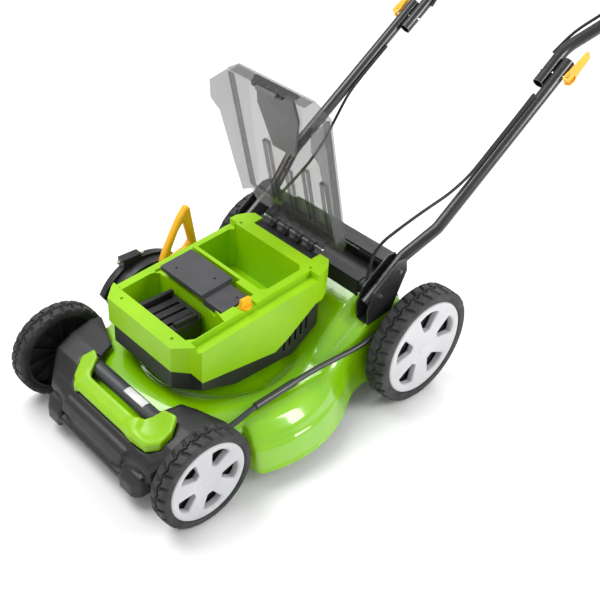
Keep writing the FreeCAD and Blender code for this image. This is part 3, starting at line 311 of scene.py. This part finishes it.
def skin(field, low, high, step):
    """Surface nets: points and quads on the zero level of a field between two corners."""
    low = np.array(low, float)
    counts = np.ceil((np.array(high, float) - low) / step).astype(int) + 1
    lines = [low[i] + step * np.arange(counts[i]) for i in range(3)]
    x, y, z = np.meshgrid(*lines, indexing="ij")
    value = field(x, y, z)
    cells = counts - 1
    total = np.zeros((*cells, 3))
    hits = np.zeros(cells)
    crossings = []
    for axis in range(3):
        near = np.take(value, range(counts[axis] - 1), axis)
        far = np.take(value, range(1, counts[axis]), axis)
        found = np.argwhere((near < 0) != (far < 0))
        at_near = near[tuple(found.T)]
        at_far = far[tuple(found.T)]
        where = low + step * found
        where[:, axis] += step * at_near / (at_near - at_far)
        others = [i for i in range(3) if i != axis]
        corners = []
        for a, b in ((0, 0), (1, 0), (1, 1), (0, 1)):
            cell = found.copy()
            cell[:, others[0]] -= a
            cell[:, others[1]] -= b
            good = np.all((cell >= 0) & (cell < cells), axis=1)
            index = tuple(cell[good].T)
            np.add.at(total, index, where[good])
            np.add.at(hits, index, 1)
            corners.append((cell, good))
        crossings.append((axis, at_near < 0, corners))
    active = hits > 0
    number = np.full(cells, -1)
    number[active] = np.arange(active.sum())
    points = total[active] / hits[active][:, None]
    faces = []
    for axis, leaving, corners in crossings:
        keep = np.logical_and.reduce([good for _, good in corners])
        ring = [number[tuple(cell[keep].T)] for cell, _ in corners]
        quads = np.stack(ring, 1)
        turn = leaving[keep] if axis != 1 else ~leaving[keep]
        quads[turn] = quads[turn][:, ::-1]
        faces.append(quads)
    faces = np.concatenate(faces)
    return points, faces


def relax(points, faces, rounds, pull=0.5):
    """Evens out a net by moving each inner point towards its neighbours."""
    edges = np.concatenate([faces[:, [i, (i + 1) % 4]] for i in range(4)])
    for _ in range(rounds):
        total = np.zeros_like(points)
        count = np.zeros(len(points))
        for a, b in ((0, 1), (1, 0)):
            np.add.at(total, edges[:, a], points[edges[:, b]])
            np.add.at(count, edges[:, a], 1)
        points = points + pull * (total / np.maximum(count, 1)[:, None] - points)
    return points


def sculpt(name, field, low, high, step, body, slot, replaces=(), rounds=1, angle=0):
    """A piece made from a distance field."""
    points, faces = skin(field, low, high, step)
    points = relax(points, faces, rounds)
    return piece(name, points, faces, body, slot, replaces, angle=angle)


# ---------------------------------------------------------------- deck

BOWL_Y = -55
DECK_LOW = 38
DECK_STEP = 4.0
SHEET = 2.4


def deck_field(x, y, z):
    """Pressed deck: round bowl with a crest and a trench, and a raised rear body."""
    reach = np.hypot(x, y - BOWL_Y)
    bowl = flat_distance(reach, z, [
        (264, 0), (264, 56), (261, 72), (257, 90), (252, 94), (244, 112), (228, 130), (205, 142),
        (184, 146), (166, 143), (150, 132), (138, 127.3), (-60, 127.3), (-60, 0),
    ])
    lip = flat_distance(reach, z, [(230, 0), (270, 0), (270, 43), (266, 48), (230, 48)])
    bowl = join(bowl, lip, 5)
    for edge, front in ((176, -212), (200, -158)):
        corner = np.maximum(edge - np.abs(x), y - front)
        bowl = carve(bowl, corner, 10)
    bowl = meet(bowl, -306 - y, 8)
    bowl = meet(bowl, -235.5 - x, 2)
    front = flat_distance(y, z, [(-262, 0), (-262, 84), (-233, 118), (BOWL_Y, 128), (BOWL_Y, 0)])
    front = meet(front, np.abs(x) - 150, 12)
    rear = flat_distance(y, z, [
        (0, 0), (0, 110), (60, 128), (96, 158), (160, 200), (252, 214), (276, 206), (302, 128),
        (330, 88), (330, 0),
    ])
    rear = meet(rear, np.abs(x) - 194, 22)
    tunnel = flat_distance(y, z, [
        (40, 0), (40, 120), (110, 196), (150, 226), (232, 264), (250, 262), (262, 240), (318, 86),
        (318, 0),
    ])
    tunnel = meet(tunnel, np.abs(x) - 160, 20)
    return join(join(join(bowl, front, 16), rear, 34), tunnel, 18)


def deck_pieces():
    """The deck's sheet with its openings, and the black roof of the tunnel behind the housing."""
    points, faces = skin(deck_field, (-240, -314, DECK_LOW), (280, 340, 280), DECK_STEP)
    points = relax(points, faces, 4)
    x, y, z = points[faces].mean(1).T
    shaft_hole = (np.hypot(x, y - BOWL_Y) < 30) & (z > 100)
    rear_mouth = (np.abs(x) < 143) & (y > 258) & (z > 150)
    side_mouth = (x < -232) & (np.abs(y - BOWL_Y) < 96) & (z < 116)
    kept = ~(shaft_hole | rear_mouth | side_mouth)
    roof = (np.abs(x) < 158) & (y > 186) & (z > 214)
    green = piece("pressed_deck", points, faces[kept & ~roof], "chassis", "deck_paint", ["deck"], angle=0)
    thicken(green, SHEET)
    black = piece("tunnel_roof", points, faces[kept & roof], "chassis", "black_plastic", angle=0)
    thicken(black, SHEET)


deck_pieces()


# ---------------------------------------------------------------- wheels

def place_wheel(points, side, node):
    """Wheel points (radius direction a, radius direction b, outwards) to the deck frame."""
    hub = middle(node)
    points = np.asarray(points, float)
    placed = np.stack([side * points[:, 2], points[:, 0] * side, points[:, 1]], 1)
    placed[:, 1] += (hub.y - SHIFT) / MM
    placed[:, 2] += hub.z / MM
    return placed


def tread(turn, across):
    """Groove depth share, 0 on a lug to 1 in a groove; turn in lugs, across from -1 to 1."""
    ramp_width = 0.05
    zigzag = 0.16 * (4 * np.abs((turn % 1) - 0.5) - 1)
    middle_groove = np.clip((0.11 - np.abs(across - zigzag)) / ramp_width, 0, 1)
    half_turn = np.where(across > zigzag, 0.0, 0.5)
    slanted = (turn + half_turn + 0.28 * np.abs(across)) % 1
    side_groove = np.clip((0.15 - np.abs(slanted - 0.5)) / ramp_width, 0, 1)
    side_groove = side_groove * np.clip((np.abs(across) - 0.1) / 0.1, 0, 1)
    return np.maximum(middle_groove, side_groove)


def tyre(name, side, radius, width, outer, lugs, body):
    """A tyre with a zigzag lug tread."""
    seat = radius * 0.835
    shoulder = radius - 1.6
    rim = 4.5
    groove = 4.5
    shoulder_groove = 3.2
    steps = lugs * 14
    angles = np.arange(steps) * 2 * math.pi / steps
    turns = angles * lugs / (2 * math.pi)
    wall = [(seat, 2), (seat + 3, 1), (radius - 10, 0.2), (radius - 5, 1.2), (shoulder, 3.4)]
    rings = [(r, w, False) for r, w in wall]
    rings += [(radius, w, True) for w in np.linspace(rim, width - rim, 25)]
    rings += [(r, width - w, False) for r, w in reversed(wall)]
    points = []
    for r, w, worn in rings:
        share = 2 * (w - width / 2) / (width - 2 * rim)
        ring_r = np.full(steps, float(r))
        if worn:
            ring_r -= tread(turns, np.full(steps, share)) * groove + 1.2 * share * share
        elif r == shoulder:
            ring_r -= tread(turns, np.full(steps, math.copysign(1.0, share))) * shoulder_groove
        outwards = np.full(steps, outer - width + w)
        points.append(np.stack([ring_r * np.cos(angles), ring_r * np.sin(angles), outwards], 1))
    faces = []
    for i in range(len(rings)):
        j = (i + 1) % len(rings)
        for k in range(steps):
            n = (k + 1) % steps
            faces.append((i * steps + k, j * steps + k, j * steps + n, i * steps + n))
    if side < 0:
        faces = [face[::-1] for face in faces]
    placed = place_wheel(np.concatenate(points), side, f"{name}_core")
    piece(f"{name}_tread", placed, faces, body, "tyre_rubber", [f"{name}_tyre"], angle=28)


def cap(name, side, radius, outer, start, body):
    """A hub cap: a dished disc with five deep tapered windows, the first at the start angle."""
    size = radius * 0.81
    half_window = [(0.38, 0.08), (0.76, 0.27), (0.83, 0.13)]
    window_plan = [(along, -beside) for along, beside in half_window] + [(0.85, 0)]
    window_plan += [(along, beside) for along, beside in reversed(half_window)]
    window_plan = [(along * size, beside * size) for along, beside in window_plan]

    def field(a, b, w):
        reach = np.hypot(a, b)
        depth = w - outer
        disc = flat_distance(reach, depth, [
            (-40, -9), (size * 0.28, -8.5), (size * 0.80, -6), (size * 0.88, -16), (size, -17),
            (size, -1.5), (size * 0.965, 0), (size * 0.86, -0.8), (size * 0.30, -4.5),
            (size * 0.2, -4.2), (-40, -4.2),
        ])
        boss = flat_distance(reach, depth, [(-40, -6), (size * 0.15, -6), (size * 0.13, -3), (-40, -3)])
        disc = join(disc, boss, 1)
        window = np.full(a.shape, 1e6)
        wall = np.full(a.shape, 1e6)
        for i in range(5):
            angle = 2 * math.pi * i / 5 + math.radians(start)
            along = a * math.cos(angle) + b * math.sin(angle)
            beside = -a * math.sin(angle) + b * math.cos(angle)
            shape = flat_distance(along, beside, window_plan)
            window = np.minimum(window, shape)
            shell = np.maximum(np.abs(shape - 0.5) - 1.6, np.maximum(depth + 3, -17 - depth))
            wall = np.minimum(wall, shell)
        draft = window - 0.25 * (depth + 4)
        return np.minimum(carve(disc, draft, 1.5), wall)

    reach = size + 3
    points, faces = skin(field, (-reach, -reach, outer - 20), (reach, reach, outer + 3), 2.0)
    points = relax(points, faces, 1, 0.4)
    if side < 0:
        faces = faces[:, ::-1]
    placed = place_wheel(points, side, f"{name}_core")
    piece(f"{name}_hub_cap", placed, faces, body, "cap_plastic", [f"{name}_cap"], angle=0)


# Name, side, radius, width, outer face, lugs round the tread and first window's angle.
WHEELS = [
    ("front_left", 1, 100, 41, 248.5, 26, 63),
    ("front_right", -1, 100, 41, 248.5, 26, 90),
    ("rear_left", 1, 129, 50, 266, 32, 90),
    ("rear_right", -1, 129, 50, 266, 32, 90),
]
for name, side, radius, width, outer, lugs, start in WHEELS:
    tyre(name, side, radius, width, outer, lugs, f"{name}_wheel")
    cap(name, side, radius, outer, start, f"{name}_wheel")


# ---------------------------------------------------------------- grips

def loop_grip_field(x, y, z):
    """The D-shaped grip of the height lever, thick in front and thin behind."""
    outer = flat_distance(y, z, [
        (-46, 214), (-26, 204), (46, 226), (52, 240), (34, 334), (22, 341), (2, 318), (-30, 262),
        (-44, 232),
    ])
    inner = flat_distance(y, z, [(-20, 226), (20, 238), (30, 250), (16, 304), (2, 288), (-16, 252)])
    ring = carve(outer + 2, inner, 6)
    return meet(ring, np.abs(x + 200) - 9.5, 9)


def front_grip_field(x, y, z):
    """A slim bar with a flat flare at one end and a scooped cup at the other."""
    lean = z - (0.62 * (y + 300) + 139)
    bar = block(x, y, lean, (-92, -328, -8), (88, -300, 8), 7)
    flare = flat_distance(x, y, [
        (-112, -264), (-124, -286), (-106, -316), (-84, -328), (-76, -300), (-92, -270),
    ])
    flare = meet(flare, np.abs(lean + 1) - 8, 5)
    cup = flat_distance(x, y, [
        (66, -316), (84, -296), (108, -264), (140, -260), (156, -284), (154, -308), (132, -325),
        (92, -328),
    ])
    cup = meet(cup, np.abs(lean) - 11, 6)
    scoop = np.sqrt(((x - 110) / 36) ** 2 + ((y + 292) / 27) ** 2 + ((lean - 13) / 12) ** 2)
    cup = carve(cup, (scoop - 1) * 13, 5)
    return join(join(bar, flare, 10), cup, 12)


HALF_BUMPER = [(176, -262), (176, -300), (150, -338), (60, -354)]
CHEEK_PLAN = [(96, -262), (108, -226), (200, -190), (203, -216), (192, -300), (152, -342), (96, -336)]
BAR_PLACE = (-272, 137)
BAR_RADIUS = 15


def bumper_body(x, beside, y, z):
    """The convex face, hollow behind, with a raised strip and a lower lip."""
    face = flat_distance(y, z, [
        (-262, 52), (-300, 42), (-340, 36), (-356, 42), (-357, 66), (-348, 92), (-328, 112),
        (-300, 112), (-262, 92),
    ])
    plan = [(-a, b) for a, b in HALF_BUMPER] + HALF_BUMPER[::-1]
    body = meet(face, flat_distance(x, y, plan), 6)
    inside = flat_distance(y, z, [
        (-250, 20), (-250, 84), (-300, 100), (-330, 88), (-342, 50), (-320, 20),
    ])
    body = np.maximum(body, -np.maximum(inside, beside - 165))
    strip = flat_distance(y, z, [(-352, 76), (-358, 74), (-350, 96), (-340, 104), (-336, 100)])
    body = join(body, meet(strip, beside - 96, 3), 2)
    lip = flat_distance(y, z, [(-340, 38), (-360, 42), (-361, 54), (-352, 58), (-340, 56)])
    return join(body, meet(lip, beside - 104, 4), 3)


def bumper_cheek(beside, y, z):
    """The sloping cheek between the grip and the wheel, with the web under it."""
    top = flat_distance(y, z, [
        (-346, 88), (-330, 112), (-300, 140), (-262, 155), (-215, 162), (-188, 157), (-188, 150),
        (-215, 154), (-262, 147), (-296, 131), (-320, 106), (-338, 80),
    ])
    cheek = meet(flat_distance(beside, y, CHEEK_PLAN), top, 4)
    above = z - np.interp(y, (-346, -330, -300, -262, -215), (84, 108, 136, 151, 158))
    web = np.maximum(block(beside, y, z, (152, -336, 62), (158, -262, 132), 2), above)
    return join(cheek, web, 4)


def bumper_foot(beside, y, z):
    """A foot with a chamfered top and a chamfered outer corner."""
    foot = block(beside, y, z, (98, -363, 30), (150, -326, 78), 4)
    foot = meet(foot, 0.60 * (z - 74) - 0.80 * (y + 352), 3)
    return meet(foot, 0.7 * (beside - 150) - 0.7 * (y + 350), 3)


def bumper_field(x, y, z):
    """The black front, kept clear of the grip, the round bar and the deck."""
    beside = np.abs(x)
    field = join(bumper_body(x, beside, y, z), bumper_cheek(beside, y, z), 6)
    field = join(field, bumper_foot(beside, y, z), 2)
    field = np.maximum(field, 1.0 - front_grip_field(x, y, z))
    bar = np.hypot(y - BAR_PLACE[0], z - BAR_PLACE[1]) - (BAR_RADIUS + 4)
    field = np.maximum(field, -np.maximum(bar, beside - 107))
    return np.maximum(field, 3.0 - deck_field(x, y, z))


# ---------------------------------------------------------------- carried-over CAD nodes

# Edge rounding of the CAD nodes that stay, in millimetres.
SOFTENED = {
    "motor_housing": 2.2, "housing_base": 1.2, "battery_bracket": 1.0,
    "battery_socket": 1.2, "side_hood": 1.5, "side_door": 1.5, "hinge_ears": 0.8, "switch_box": 1.0,
    "rear_flap": 0.8, "cam_lever_left": 1.2, "cam_lever_right": 1.2, "safety_key": 0.8,
    "lid_panel": 1.0, "front_bar": 1.5, "height_lever": 0.6, "handle_brackets": 0.6,
    "start_button": 0.8, "blade": 0.5, "discharge_chute": 0.4,
}
SLOT_OF = {part["node"]: part["material_slot"] for part in frame["record"]["subparts"]}
for name, item in frame["nodes"].items():
    slot_name = SLOT_OF[name]
    if not item.material_slots:
        item.data.materials.append(MATERIALS[slot_name])
    for holder in item.material_slots:
        holder.material = MATERIALS[slot_name]
    if name in SOFTENED:
        soften(item, SOFTENED[name])

for holder in frame["nodes"]["lid_panel"].material_slots:
    holder.material = PANEL

sculpt("loop_grip", loop_grip_field, (-214, -52, 198), (-186, 58, 348), 1.8,
       "height_lever", "orange_plastic", ["height_grip"], 2)
sculpt("carry_grip", front_grip_field, (-132, -342, 100), (162, -252, 190), 2.0,
       "chassis", "green_plastic", ["front_grip"], 2)
sculpt("bumper", bumper_field, (-208, -368, 26), (208, -184, 168), 3.0,
       "chassis", "black_plastic", ["front_bumper"], 1, 40)


# ---------------------------------------------------------------- lid, label, rim bead

def prism(outline, low, high, axis=2):
    """Points and faces of an outline pushed along an axis (0 = X, 2 = Z)."""
    ends = []
    for level in (low, high):
        for a, b in outline:
            ends.append((level, a, b) if axis == 0 else (a, b, level))
    count = len(outline)
    faces = [list(range(count))[::-1], list(range(count, 2 * count))]
    for i in range(count):
        j = (i + 1) % count
        faces.append([i, j, j + count, i + count])
    return ends, faces


def gather(solids):
    """One list of points and faces from many prisms."""
    points = []
    faces = []
    for solid_points, solid_faces in solids:
        start = len(points)
        points += solid_points
        faces += [[index + start for index in face] for face in solid_faces]
    return points, faces


RIM_TILT = 6.09
LID_OPENING = 82
LID_HINGE = (140, 327)
LID_TURN = math.radians(RIM_TILT - LID_OPENING)
LID_UNDERSIDE = 13.9


def on_lid(points):
    """Points drawn on the closed, level lid, with its hinge at the origin, to the deck frame."""
    placed = []
    for x, y, z in points:
        placed.append((
            x,
            LID_HINGE[0] + y * math.cos(LID_TURN) - z * math.sin(LID_TURN),
            LID_HINGE[1] + y * math.sin(LID_TURN) + z * math.cos(LID_TURN),
        ))
    return placed


def lid_piece(name, solids, slot):
    """A piece made of prisms that rides on the lid."""
    points, faces = gather(solids)
    return piece(name, on_lid(points), faces, "lid", slot, angle=30)


def lid_ribs():
    """Stiffening ribs under the lid: narrow upright frames beside the hinge."""
    thickness = 1.6
    width = 14
    near = -52
    low = 6
    high = 14
    solids = []
    for x, far in ((-58, -196), (-6, -150), (44, -176), (92, -168)):
        for edge in (x, x + width):
            outline = [(near, low), (near, high), (far, high), (far, low)]
            solids.append(prism(outline, edge, edge + thickness, 0))
        right = x + width + thickness
        top = far - thickness
        solids.append(prism([(x, far), (right, far), (right, top), (x, top)], low, high))
    lid_piece("lid_ribs", solids, "smoked_lid")


def lid_catch():
    """A row of catch teeth behind the lid's front lip, on a strip."""
    solids = []
    for x in (-44, -22, 0, 22):
        solids.append(prism([(x, -341), (x + 13, -341), (x + 13, -330), (x, -330)], -5, 5))
    solids.append(prism([(-50, -341.4), (62, -341.4), (62, -336), (-50, -336)], 6, LID_UNDERSIDE))
    soften(lid_piece("lid_catch", solids, "black_plastic"), 0.6)


def lid_border():
    """The thicker border under the lid, down both sides and along the hinge."""
    low = 11.5
    solids = []
    for side in (-1, 1):
        outline = [(side * 117, -40), (side * 132.5, -52), (side * 132.5, -316), (side * 117, -316)]
        solids.append(prism(outline[::side], low, LID_UNDERSIDE))
    solids.append(prism([(-117, -54), (117, -54), (117, -40), (-117, -40)], low, LID_UNDERSIDE))
    lid_piece("lid_border", solids, "smoked_lid")


def blank_label():
    """A plain white label bent round the front bar."""
    steps = 8
    radius = BAR_RADIUS + 0.4
    points = []
    for x in (6, 64):
        for i in range(steps + 1):
            angle = math.radians(60 + 66 * i / steps)
            y = BAR_PLACE[0] + radius * math.cos(angle)
            z = BAR_PLACE[1] + radius * math.sin(angle)
            points.append((x, y, z))
    faces = [[i, i + 1, i + steps + 2, i + steps + 1] for i in range(steps)]
    sheet = piece("blank_label", points, faces, "chassis", "cap_plastic", material=LABEL, angle=60)
    thicken(sheet, 0.3)


RIM_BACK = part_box("motor_housing")[1].z / MM


def rim_level(y):
    """Height of the housing's rim."""
    return RIM_BACK + (y - 132) * math.tan(math.radians(RIM_TILT))


def bead(path, width, height, sink):
    """A low ridge along a path on the rim."""
    count = len(path)
    points = []
    for i, (x, y) in enumerate(path):
        before = Vector(path[max(i - 1, 0)])
        after = Vector(path[min(i + 1, count - 1)])
        along = (after - before).normalized()
        across = Vector((-along.y, along.x)) * width / 2
        for sign, level in ((-1, -sink), (-0.5, height), (0.5, height), (1, -sink)):
            points.append((x + sign * across.x, y + sign * across.y, rim_level(y) + level))
    faces = []
    for i in range(count - 1):
        for k in range(4):
            j = (k + 1) % 4
            faces.append([4 * i + k, 4 * i + j, 4 * i + 4 + j, 4 * i + 4 + k])
    faces.append([0, 3, 2, 1])
    faces.append([4 * count - 4 + k for k in range(4)])
    return points, faces


def rim_bead():
    """The ridge along the front of the housing's rim."""
    points, faces = bead([(-96, -213), (-92, -226), (92, -226), (108, -212), (112, -206)], 2.2, 0.9, 0.5)
    piece("rim_bead", points, faces, "chassis", "green_plastic", angle=30)


lid_ribs()
lid_catch()
lid_border()
blank_label()
rim_bead()


# ---------------------------------------------------------------- floor, light, camera

FLOOR_REACH = 6.0
floor_mesh = bpy.data.meshes.new("floor")
floor_corners = [(x * FLOOR_REACH, y * FLOOR_REACH, 0) for x, y in ((-1, -1), (1, -1), (1, 1), (-1, 1))]
floor_mesh.from_pydata(floor_corners, [], [(0, 1, 2, 3)])
floor = bpy.data.objects.new("floor", floor_mesh)
bpy.context.scene.collection.objects.link(floor)
floor_material, floor_tree, floor_main = shader("studio_floor", (0.93, 0.93, 0.93), 0.6)
vary(floor_tree, floor_main, "Roughness", noise(floor_tree, 6), 0.42, 0.55)
floor_mesh.materials.append(floor_material)

world = bpy.data.worlds.new("studio")
bpy.context.scene.world = world
world.use_nodes = True
background = world.node_tree.nodes["Background"]
socket(background, "Color", (1.0, 1.0, 1.0, 1))
socket(background, "Strength", 0.62)
# The standard transform keeps the lime green as saturated as the real paint.
bpy.context.scene.view_settings.view_transform = "Standard"


def softbox(name, place, target, width, height, power):
    """A rectangular area light aimed at a target; metres and watts."""
    data = bpy.data.lights.new(name, "AREA")
    data.shape = "RECTANGLE"
    data.size = width
    data.size_y = height
    data.energy = power
    item = bpy.data.objects.new(name, data)
    item.location = place
    aim = Vector(target) - Vector(place)
    item.rotation_euler = aim.to_track_quat("-Z", "Y").to_euler()
    bpy.context.scene.collection.objects.link(item)


softbox("key", (-1.2, -1.2, 3.0), (0, 0, 0.1), 2.2, 1.8, 78)
softbox("side", (2.3, 0.9, 1.7), (0.1, -0.2, 0.2), 0.7, 1.6, 40)
softbox("back", (-0.6, 2.2, 2.4), (0, 0, 0.3), 1.8, 1.2, 45)

CAMERA_PLACE = (1.14369, -1.39831, 1.35019)
AZIMUTH = math.radians(44.26)
ELEVATION = math.radians(36.34)
ROLL = math.radians(4.2)
camera_data = bpy.data.cameras.new("camera")
camera_data.lens = 57.56
camera_data.sensor_width = 36
camera = bpy.data.objects.new("camera", camera_data)
turn = Matrix.Rotation(AZIMUTH, 4, "Z") @ Matrix.Rotation(math.pi / 2 - ELEVATION, 4, "X")
turn = turn @ Matrix.Rotation(ROLL, 4, "Z")
camera.matrix_world = Matrix.Translation(CAMERA_PLACE) @ turn
bpy.context.scene.collection.objects.link(camera)
bpy.context.scene.camera = camera
